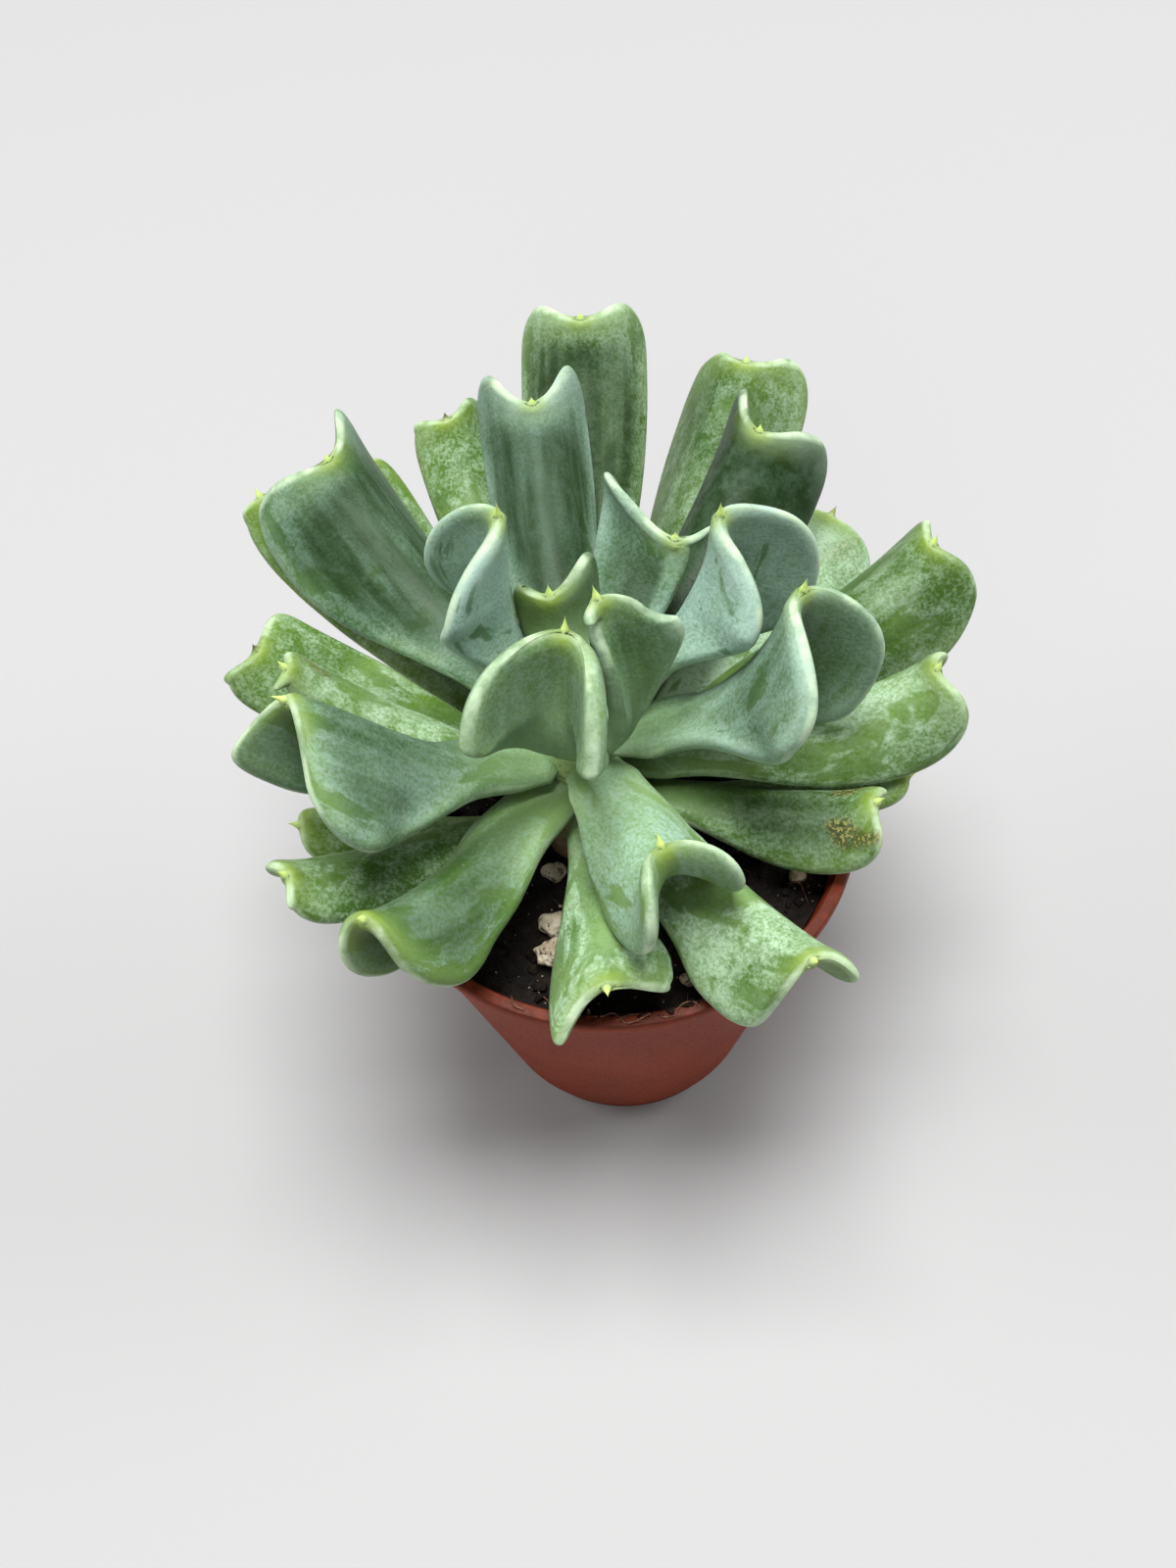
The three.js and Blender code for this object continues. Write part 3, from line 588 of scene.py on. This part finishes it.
    # a corky scar beside the midrib, a little way in from the tip
    aside = add(tree, "ShaderNodeSeparateXYZ", {"Vector": grain}).outputs["X"]
    aside = maths(tree, "ABSOLUTE", aside, 0)
    across = times(tree, step(tree, aside, 0.8, 1.8), step(tree, aside, 3.4, 4.8, 1, 0))
    along = times(tree, step(tree, tip, 2.6, 3.8), step(tree, tip, 5.2, 6.6, 1, 0))
    cork = patches(tree, at, 0.4, 3, 0.7)
    scarred = times(tree, across, along, step(tree, cork, 0.38, 0.5), step(tree, face, 0.2, 0.5), scar)
    cork_colour = tint(tree, step(tree, cork, 0.46, 0.6), linear(54, 48, 22), linear(140, 136, 78))
    colour = tint(tree, scarred, colour, cork_colour)
    tree.links.new(colour, surface.inputs["Base Color"])

    rough = step(tree, powder, 0, 0.8, 0.42, 0.7)
    tree.links.new(rough, surface.inputs["Roughness"])
    surface.inputs["Specular IOR Level"].default_value = 0.18
    surface.inputs["Sheen Weight"].default_value = 0.02
    surface.inputs["Sheen Roughness"].default_value = 0.4
    surface.inputs["Subsurface Weight"].default_value = 0.06
    surface.inputs["Subsurface Radius"].default_value = (0.6, 1, 0.3)
    surface.inputs["Subsurface Scale"].default_value = mm(1.2)
    raise_relief(tree, surface, (cloud, 0.25), (mottle, 0.09), (bare, -0.03), (fine, 0.05),
                 (scarred, 0.08))
    return skin


def pot_plastic():
    """Terracotta-brown nursery pot plastic: fine matte grain, faint mould lines and a worn, dusty rim."""
    skin, tree, surface = blank_material("terracotta_brown_plastic")
    at = millimetres(tree)
    height = add(tree, "ShaderNodeSeparateXYZ", {"Vector": at}).outputs["Z"]
    cloud = patches(tree, at, 14, 3)
    grain = patches(tree, at, 0.3, 2)
    colour = tint(tree, step(tree, cloud, 0.3, 0.7), linear(118, 43, 17), linear(134, 51, 22))
    dusty = times(tree, step(tree, height, POT_HEIGHT - 1, POT_HEIGHT - 0.1),
                  step(tree, patches(tree, at, 1.5, 4), 0.3, 0.6, 0.6, 1))
    colour = tint(tree, times(tree, dusty, 0.85), colour, linear(66, 28, 15))
    scuffs = patches(tree, millimetres(tree, (1, 1, 0.25)), 1.6, 5, 0.7)
    colour = tint(tree, step(tree, scuffs, 0.64, 0.72, 0, 0.35), colour, linear(126, 60, 38))
    soiled = times(tree, step(tree, height, SOIL_TOP - 2, SOIL_TOP + 3, 1, 0.25),
                   step(tree, patches(tree, at, 1.2, 4), 0.56, 0.66))
    inside = step(tree, height, SOIL_TOP, POT_HEIGHT, 0.5, 0.2)
    colour = tint(tree, times(tree, soiled, inside, 0.5), colour, linear(52, 30, 22))
    tree.links.new(colour, surface.inputs["Base Color"])
    tree.links.new(step(tree, grain, 0.3, 0.7, 0.45, 0.6), surface.inputs["Roughness"])
    surface.inputs["Specular IOR Level"].default_value = 0.14
    raise_relief(tree, surface, (cloud, 0.08), (scuffs, 0.02), (grain, 0.012))
    return skin


def potting_soil():
    """Moist dark peat: nearly black, with brown crumbs, reddish bark and a few pale grains."""
    skin, tree, surface = blank_material("moist_peat")
    at = millimetres(tree)
    coarse = patches(tree, at, 2.2, 4, 0.65)
    fine = patches(tree, at, 0.5, 4, 0.7)
    colour = tint(tree, step(tree, coarse, 0.35, 0.7), linear(9, 6, 4), linear(27, 18, 12))
    colour = tint(tree, step(tree, fine, 0.62, 0.76, 0, 0.6), colour, linear(66, 46, 33))
    grains = add(tree, "ShaderNodeTexVoronoi", {"Vector": at, "Scale": 0.9, "Randomness": 1})
    grit = grains.outputs["Distance"]
    colour = tint(tree, step(tree, grit, 0.06, 0.12, 0.7, 0), colour, linear(150, 132, 108))
    tree.links.new(colour, surface.inputs["Base Color"])
    tree.links.new(step(tree, fine, 0.3, 0.7, 0.6, 0.95), surface.inputs["Roughness"])
    surface.inputs["Specular IOR Level"].default_value = 0.2
    raise_relief(tree, surface, (coarse, 0.6), (fine, 0.3))
    return skin


def perlite_stone():
    """Off-white puffed grains, pitted, with soil in the pits."""
    skin, tree, surface = blank_material("perlite_grain")
    at = millimetres(tree)
    pits = patches(tree, at, 0.7, 4, 0.65)
    cloud = patches(tree, at, 2, 2)
    colour = tint(tree, step(tree, cloud, 0.35, 0.7), linear(150, 136, 110), linear(186, 176, 154))
    colour = tint(tree, step(tree, pits, 0.36, 0.46, 0.9, 0), colour, linear(44, 32, 22))
    tree.links.new(colour, surface.inputs["Base Color"])
    tree.links.new(step(tree, pits, 0.3, 0.6, 0.95, 0.8), surface.inputs["Roughness"])
    raise_relief(tree, surface, (pits, 0.35))
    return skin


def stem_skin():
    """Pale green flesh among the leaves, corky brown towards the soil, with rings of old leaf scars."""
    skin, tree, surface = blank_material("fleshy_stem")
    at = millimetres(tree)
    height = add(tree, "ShaderNodeSeparateXYZ", {"Vector": at}).outputs["Z"]
    cork = patches(tree, millimetres(tree, (1, 1, 2.5)), 1.6, 4, 0.65)
    uneven = maths(tree, "ADD", height, step(tree, cork, 0.3, 0.7, -3, 3))
    colour = tint(tree, step(tree, uneven, 43, 52), linear(104, 84, 56), linear(140, 164, 104))
    colour = tint(tree, step(tree, cork, 0.55, 0.7, 0, 0.6), colour, linear(74, 62, 40))
    tree.links.new(colour, surface.inputs["Base Color"])
    tree.links.new(step(tree, cork, 0.3, 0.7, 0.55, 0.85), surface.inputs["Roughness"])
    raise_relief(tree, surface, (cork, 0.3))
    return skin


def root_fibre():
    skin, tree, surface = blank_material("dry_root_fibre")
    at = millimetres(tree)
    streak = patches(tree, at, 0.8, 3)
    colour = tint(tree, step(tree, streak, 0.35, 0.65), linear(64, 38, 24), linear(132, 88, 58))
    tree.links.new(colour, surface.inputs["Base Color"])
    tree.links.new(step(tree, streak, 0.3, 0.7, 0.6, 0.85), surface.inputs["Roughness"])
    raise_relief(tree, surface, (streak, 0.04))
    return skin


# Pot, soil and stem

def outside(height):
    return BASE_RADIUS + (RIM_RADIUS - LIP_STEP - BASE_RADIUS) * height / POT_HEIGHT


def inside(height):
    return outside(height) - WALL


def drawn_up(piece, first_radius, first_height, profile):
    """Extrudes the selected cap through the profile's radii and heights."""
    radius, height = first_radius, first_height
    for next_radius, next_height in profile:
        rise = mm(next_height - height)
        bpy.ops.mesh.extrude_region_move(TRANSFORM_OT_translate={"value": (0, 0, rise)})
        size = next_radius / radius
        bpy.ops.transform.resize(value=(size, size, 1), center_override=(0, 0, mm(next_height)))
        radius, height = next_radius, next_height


def pot_piece(skin):
    foot = outside(FOOT_HEIGHT) - FOOT_STEP
    piece = start_with(
        bpy.ops.mesh.primitive_cylinder_add, "nursery_pot", vertices=160, radius=mm(outside(0) - FOOT_STEP),
        depth=mm(FOOT_HEIGHT), location=(0, 0, mm(FOOT_HEIGHT / 2)))
    apply_place(piece)
    edit(piece)
    select_where(piece, "polygons", lambda at: at.z > FOOT_HEIGHT - 0.01)
    size = foot / (outside(0) - FOOT_STEP)
    bpy.ops.transform.resize(value=(size, size, 1), center_override=(0, 0, mm(FOOT_HEIGHT)))
    lip_foot = POT_HEIGHT - LIP_HEIGHT
    drawn_up(piece, foot, FOOT_HEIGHT, [
        (outside(FOOT_HEIGHT + FOOT_STEP), FOOT_HEIGHT + FOOT_STEP),
        (outside(0.3 * POT_HEIGHT), 0.3 * POT_HEIGHT),
        (outside(0.65 * POT_HEIGHT), 0.65 * POT_HEIGHT),
        (outside(lip_foot), lip_foot),
        (RIM_RADIUS - 0.1, lip_foot + LIP_STEP),
        (RIM_RADIUS, lip_foot + LIP_STEP + 0.3),
        (RIM_RADIUS, POT_HEIGHT - LIP_ROUND),
        (RIM_RADIUS - 0.12, POT_HEIGHT - 0.12),
        (RIM_RADIUS - LIP_ROUND, POT_HEIGHT),
        (inside(POT_HEIGHT) + 0.25, POT_HEIGHT),
        (inside(POT_HEIGHT), POT_HEIGHT - 0.25),
        (inside(0.5 * POT_HEIGHT), 0.5 * POT_HEIGHT),
        (inside(FLOOR_HEIGHT) + 0.2, FLOOR_HEIGHT + 0.8),
        (inside(FLOOR_HEIGHT) - 0.6, FLOOR_HEIGHT),
    ])
    bpy.ops.mesh.inset(thickness=mm(2))
    sharp = (0, FOOT_HEIGHT)
    select_where(piece, "edges", lambda at: (
        at.xy.length > foot - 1.5 and min(abs(at.z - z) for z in sharp) < 0.01))
    bpy.ops.mesh.bevel(offset=mm(0.2), segments=3, affect="EDGES")
    done_editing()
    for k in range(DRAIN_COUNT):
        angle = 2 * math.pi * k / DRAIN_COUNT
        x, y = DRAIN_CIRCLE * math.cos(angle), DRAIN_CIRCLE * math.sin(angle)
        spot = (mm(x), mm(y), mm(FLOOR_HEIGHT / 2))
        pin = start_with(bpy.ops.mesh.primitive_cylinder_add, "drain_pin", vertices=32,
                         radius=mm(DRAIN_RADIUS), depth=mm(4 * FLOOR_HEIGHT), location=spot)
        hole = piece.modifiers.new("drain_hole", "BOOLEAN")
        hole.operation = "DIFFERENCE"
        hole.object = pin
        bpy.context.view_layer.objects.active = piece
        bpy.ops.object.modifier_apply(modifier=hole.name)
        bpy.data.objects.remove(pin)
    bpy.ops.object.select_all(action="DESELECT")
    piece.select_set(True)
    bpy.ops.object.shade_smooth_by_angle(angle=math.radians(35))
    return finish_piece(piece, "pot_plastic", skin, "pot")


def soil_height(x, y):
    away = np.minimum(np.hypot(x, y) / RIM_RADIUS, 1)
    lumps = np.sin(0.55 * x + 1) * np.cos(0.48 * y - 0.6) + 0.5 * np.sin(0.9 * (x - y))
    return SOIL_TOP + SOIL_MOUND * (1 - away ** 2) + SOIL_LUMP * lumps


def soil_relief(x, y):
    """The soil's height with its crumbs and hollows."""
    at = np.stack((x, y, np.zeros_like(x)), axis=-1)
    rough = 0.35 * bumps(at, 3.2, 1) + 0.3 * bumps(at, 1.3, 2) + 0.16 * bumps(at, 0.6, 3)
    return soil_height(x, y) + rough


def soil_piece(skin):
    """A fine square sheet is rounded to the pot, heaped, and closed down to the pot's floor."""
    edge = inside(SOIL_TOP) - 0.05
    bottom = FLOOR_HEIGHT + GAP
    piece = start_with(bpy.ops.mesh.primitive_grid_add, "peat_fill", x_subdivisions=200, y_subdivisions=200,
                       size=2)
    u, v, _ = points_of(piece).T
    x = u * np.sqrt(1 - v ** 2 / 2) * edge
    y = v * np.sqrt(1 - u ** 2 / 2) * edge
    move_points(piece, mm(np.stack((x, y, soil_relief(x, y)), axis=-1)))
    edit(piece, "EDGE")
    bpy.ops.mesh.select_all(action="SELECT")
    bpy.ops.mesh.region_to_loop()
    bpy.ops.mesh.extrude_edges_move(TRANSFORM_OT_translate={"value": (0, 0, mm(bottom - SOIL_TOP))})
    bpy.ops.transform.resize(value=(1, 1, 0), center_override=(0, 0, mm(bottom)))
    narrow = (inside(bottom) - GAP) / edge
    bpy.ops.transform.resize(value=(narrow, narrow, 1), center_override=(0, 0, mm(bottom)))
    bpy.ops.mesh.edge_face_add()
    bpy.ops.mesh.select_all(action="SELECT")
    bpy.ops.mesh.normals_make_consistent(inside=False)
    done_editing()
    bpy.ops.object.shade_smooth_by_angle(angle=math.radians(60))
    return finish_piece(piece, "potting_soil", skin, "soil")


def stem_piece(skin):
    piece = start_with(
        bpy.ops.mesh.primitive_cylinder_add, "fleshy_stem", vertices=48, radius=mm(STEM_FOOT_RADIUS),
        depth=mm(2), location=(0, 0, mm(STEM_FOOT + 1)))
    apply_place(piece)
    edit(piece)
    select_where(piece, "polygons", lambda at: at.z > STEM_FOOT + 1.99)
    heights = np.arange(STEM_FOOT + 3, STEM_TOP + 0.1, 0.75)
    radii = np.interp(heights, (SOIL_TOP, STEM_TOP), (STEM_FOOT_RADIUS, STEM_TOP_RADIUS))
    cap = [(0.8 * STEM_TOP_RADIUS, STEM_TOP + 0.5 * STEM_CAP),
           (0.5 * STEM_TOP_RADIUS, STEM_TOP + 0.8 * STEM_CAP), (0.1, STEM_TOP + STEM_CAP)]
    drawn_up(piece, STEM_FOOT_RADIUS, STEM_FOOT + 2, [*zip(radii, heights), *cap])
    done_editing()
    points = points_of(piece) * 1000
    knobbly = 1 + 0.03 * bumps(points, 2.5, 5) + 0.02 * np.sin(points[:, 2] * 2.1)
    points[:, 0] *= knobbly
    points[:, 1] *= knobbly
    points[:, 0] += HEART_X
    move_points(piece, mm(points))
    bpy.ops.object.shade_smooth()
    return finish_piece(piece, "stem_skin", skin, "stem")


# Crumbs

def perlite_piece(number, crumb, skin):
    """A ball made uneven, flattened and pitted, lying on the soil."""
    piece = start_with(bpy.ops.mesh.primitive_ico_sphere_add, f"perlite_grain_{number}", subdivisions=5,
                       radius=crumb["size"])
    points = points_of(piece)
    turn_by = crumb["turn_by"]
    uneven = 1 + 0.16 * np.sin(2.3 * points[:, 0] + turn_by) * np.cos(2.1 * points[:, 1] - turn_by)
    lumps = 0.16 * bumps(points, 1.1, number) + 0.07 * bumps(points, 0.45, number + 9)
    points = points * (uneven + lumps)[:, None]
    points = points @ np.array(Matrix.Rotation(turn_by, 3, "Z")).T * (1, 0.8, 0.62)
    x, y = crumb["x"], crumb["y"]
    lift = soil_height(x, y) - 0.25 - points[:, 2].min()
    move_points(piece, mm(points + (x, y, lift)))
    bpy.ops.object.shade_smooth()
    return finish_piece(piece, "perlite", skin, f"perlite_{number}")


def scattered(name, slot, skin, spot, count, smallest, largest, sunk, seed):
    """Many small angular crumbs in one piece, each sunk a little where it lies."""
    rng = random.Random(seed)
    model = start_with(bpy.ops.mesh.primitive_ico_sphere_add, name, subdivisions=1, radius=1)
    shape = points_of(model)
    corners = [tuple(face.vertices) for face in model.data.polygons]
    points, faces = [], []
    for _ in range(count):
        size = smallest + (largest - smallest) * rng.random() ** 3
        x, y, z = spot(rng)
        jitter = np.array([[rng.uniform(0.65, 1.25)] for _ in shape])
        turn = rng.uniform(0, 6.28)
        spin = Matrix.Rotation(turn, 3, Vector((rng.random(), rng.random(), 1)).normalized())
        crumb = (shape * jitter * (1, rng.uniform(0.6, 1), rng.uniform(0.5, 0.9))) @ np.array(spin).T
        first = len(points) * len(shape)
        points.append(mm(crumb * size / 2 + (x, y, z + size * (0.5 - sunk))))
        faces += [tuple(first + corner for corner in face) for face in corners]
    mesh = bpy.data.meshes.new(name)
    mesh.from_pydata(np.concatenate(points).tolist(), [], faces)
    model.data = mesh
    return finish_piece(model, slot, skin)


def on_soil(rng):
    """A place on the soil, clear of the stem and the pot's wall."""
    near_wall = inside(SOIL_TOP) - 0.9
    away = rng.uniform(7.5, near_wall) if rng.random() < 0.5 else math.sqrt(rng.random()) * 24
    angle = rng.uniform(0, 2 * math.pi)
    x, y = away * math.cos(angle), away * math.sin(angle)
    return x, y, float(soil_relief(np.array([x]), np.array([y]))[0])


def on_front_rim(rng):
    """A place on the pot's front rim, where soil was spilt."""
    angle = math.radians(rng.gauss(-84, 12))
    away = rng.uniform(inside(POT_HEIGHT) + 0.1, RIM_RADIUS - 0.5)
    return away * math.cos(angle), away * math.sin(angle), POT_HEIGHT


def fibres_piece(skin, count, seed):
    """Short curved root fibres, some of them hanging over the front rim."""
    rng = random.Random(seed)
    strands = bpy.data.curves.new("root_fibres", "CURVE")
    strands.dimensions = "3D"
    strands.bevel_depth = mm(0.09)
    strands.bevel_resolution = 1
    strands.resolution_u = 3
    for k in range(count):
        on_rim = k < count // 3
        x, y, z = on_front_rim(rng) if on_rim else on_soil(rng)
        heading = rng.uniform(0, 2 * math.pi)
        spline = strands.splines.new("BEZIER")
        spline.bezier_points.add(3)
        for j, point in enumerate(spline.bezier_points):
            lift = 0.1 + 0.5 * math.sin(math.pi * j / 3) * rng.random()
            point.co = Vector((x, y, z + lift)) * 0.001
            point.handle_left_type = "AUTO"
            point.handle_right_type = "AUTO"
            point.radius = 1 - 0.25 * j
            x += 1.1 * math.cos(heading)
            y += 1.1 * math.sin(heading)
            heading += rng.uniform(-0.9, 0.9)
            away = math.hypot(x, y)
            if on_rim:
                z = POT_HEIGHT if away > inside(POT_HEIGHT) else soil_height(x, y)
            else:
                z = float(soil_relief(np.array([x]), np.array([y]))[0])
            if away > RIM_RADIUS - 0.3:
                x, y = x * (RIM_RADIUS - 0.3) / away, y * (RIM_RADIUS - 0.3) / away
    curve = bpy.data.objects.new("root_fibres", strands)
    bpy.context.collection.objects.link(curve)
    bpy.ops.object.select_all(action="DESELECT")
    curve.select_set(True)
    bpy.context.view_layer.objects.active = curve
    bpy.ops.object.convert(target="MESH")
    piece = bpy.context.object
    piece.name = "root_fibres"
    return finish_piece(piece, "potting_soil", skin)


# Making of the plant

bloom_skin = leaf_skin("blue_green_bloom", linear(64, 98, 50), linear(88, 120, 38),
                       linear(150, 180, 166), cover=0.38, blotch=0.15, grit=0.16)
green_skin = leaf_skin("rubbed_lime_green", linear(64, 98, 38), linear(92, 124, 34),
                       linear(158, 186, 154), cover=0.32, blotch=0.42, grit=0.24)
peat = potting_soil()
white_grain = perlite_stone()
pot_piece(pot_plastic())
soil_piece(peat)
stem_piece(stem_skin())
for number, leaf in enumerate(LEAVES, start=1):
    leaf_piece(number, leaf, bloom_skin if number <= BLOOM_COUNT else green_skin)
for number, crumb in enumerate(PERLITE, start=1):
    perlite_piece(number, crumb, white_grain)
scattered("peat_crumbs", "potting_soil", peat, on_soil,
          count=900, smallest=0.5, largest=2.2, sunk=0.35, seed=11)
scattered("rim_crumbs", "potting_soil", peat, on_front_rim,
          count=40, smallest=0.25, largest=0.9, sunk=0.1, seed=12)
scattered("perlite_dust", "perlite", white_grain, on_soil,
          count=130, smallest=0.2, largest=0.8, sunk=0.3, seed=13)
fibres_piece(root_fibre(), count=60, seed=14)

# Camera, as the plant is seen from above its front

camera_data = bpy.data.cameras.new("camera")
camera_data.lens = 38.56
camera_data.sensor_width = 36
camera_data.clip_start = 0.01
camera = bpy.data.objects.new("camera", camera_data)
bpy.context.collection.objects.link(camera)
camera_place = Vector((-2.38, -111.69, 197.74))
right = Vector((0.99619, -0.06961, -0.05245))
down = Vector((-0.08716, -0.79559, -0.59952))
back = Vector((0, -0.6018, 0.7986))
turned = Matrix((right, -down, back)).transposed().to_4x4()
camera.matrix_world = Matrix.Translation(camera_place * 0.001) @ turned
bpy.context.scene.camera = camera

# Floor and soft studio light

def pale_floor():
    skin, tree, surface = blank_material("pale_floor")
    surface.inputs["Base Color"].default_value = linear(158, 158, 158)
    surface.inputs["Roughness"].default_value = 0.9
    surface.inputs["Specular IOR Level"].default_value = 0.1
    return skin


floor = start_with(bpy.ops.mesh.primitive_circle_add, "pale_floor", vertices=256, radius=0.8,
                   fill_type="NGON")
floor.data.materials.append(pale_floor())

world = bpy.data.worlds.new("studio")
world.use_nodes = True
backdrop = world.node_tree.nodes["Background"]
backdrop.inputs["Color"].default_value = (1, 1, 1, 1)
seen_directly = add(world.node_tree, "ShaderNodeLightPath").outputs["Is Camera Ray"]
world.node_tree.links.new(step(world.node_tree, seen_directly, 0, 1, 0.1, 0.8), backdrop.inputs["Strength"])
bpy.context.scene.world = world


def soft_light(name, place, width, watts):
    """A square panel that faces the plant."""
    panel = bpy.data.lights.new(name, "AREA")
    panel.size = width
    panel.energy = watts
    lamp = bpy.data.objects.new(name, panel)
    bpy.context.collection.objects.link(lamp)
    lamp.location = place
    aim = Vector((0, 0, 0.05)) - lamp.location
    lamp.rotation_euler = aim.to_track_quat("-Z", "Y").to_euler()


soft_light("overhead", (0, 0.12, 1.5), 0.8, 42)
soft_light("front_panel", (-0.25, -0.9, 0.7), 0.7, 3)
soft_light("left_panel", (-1, 0.2, 0.7), 0.6, 6)
soft_light("right_panel", (1, 0.2, 0.7), 0.6, 7)
bpy.context.scene.view_settings.view_transform = "Standard"
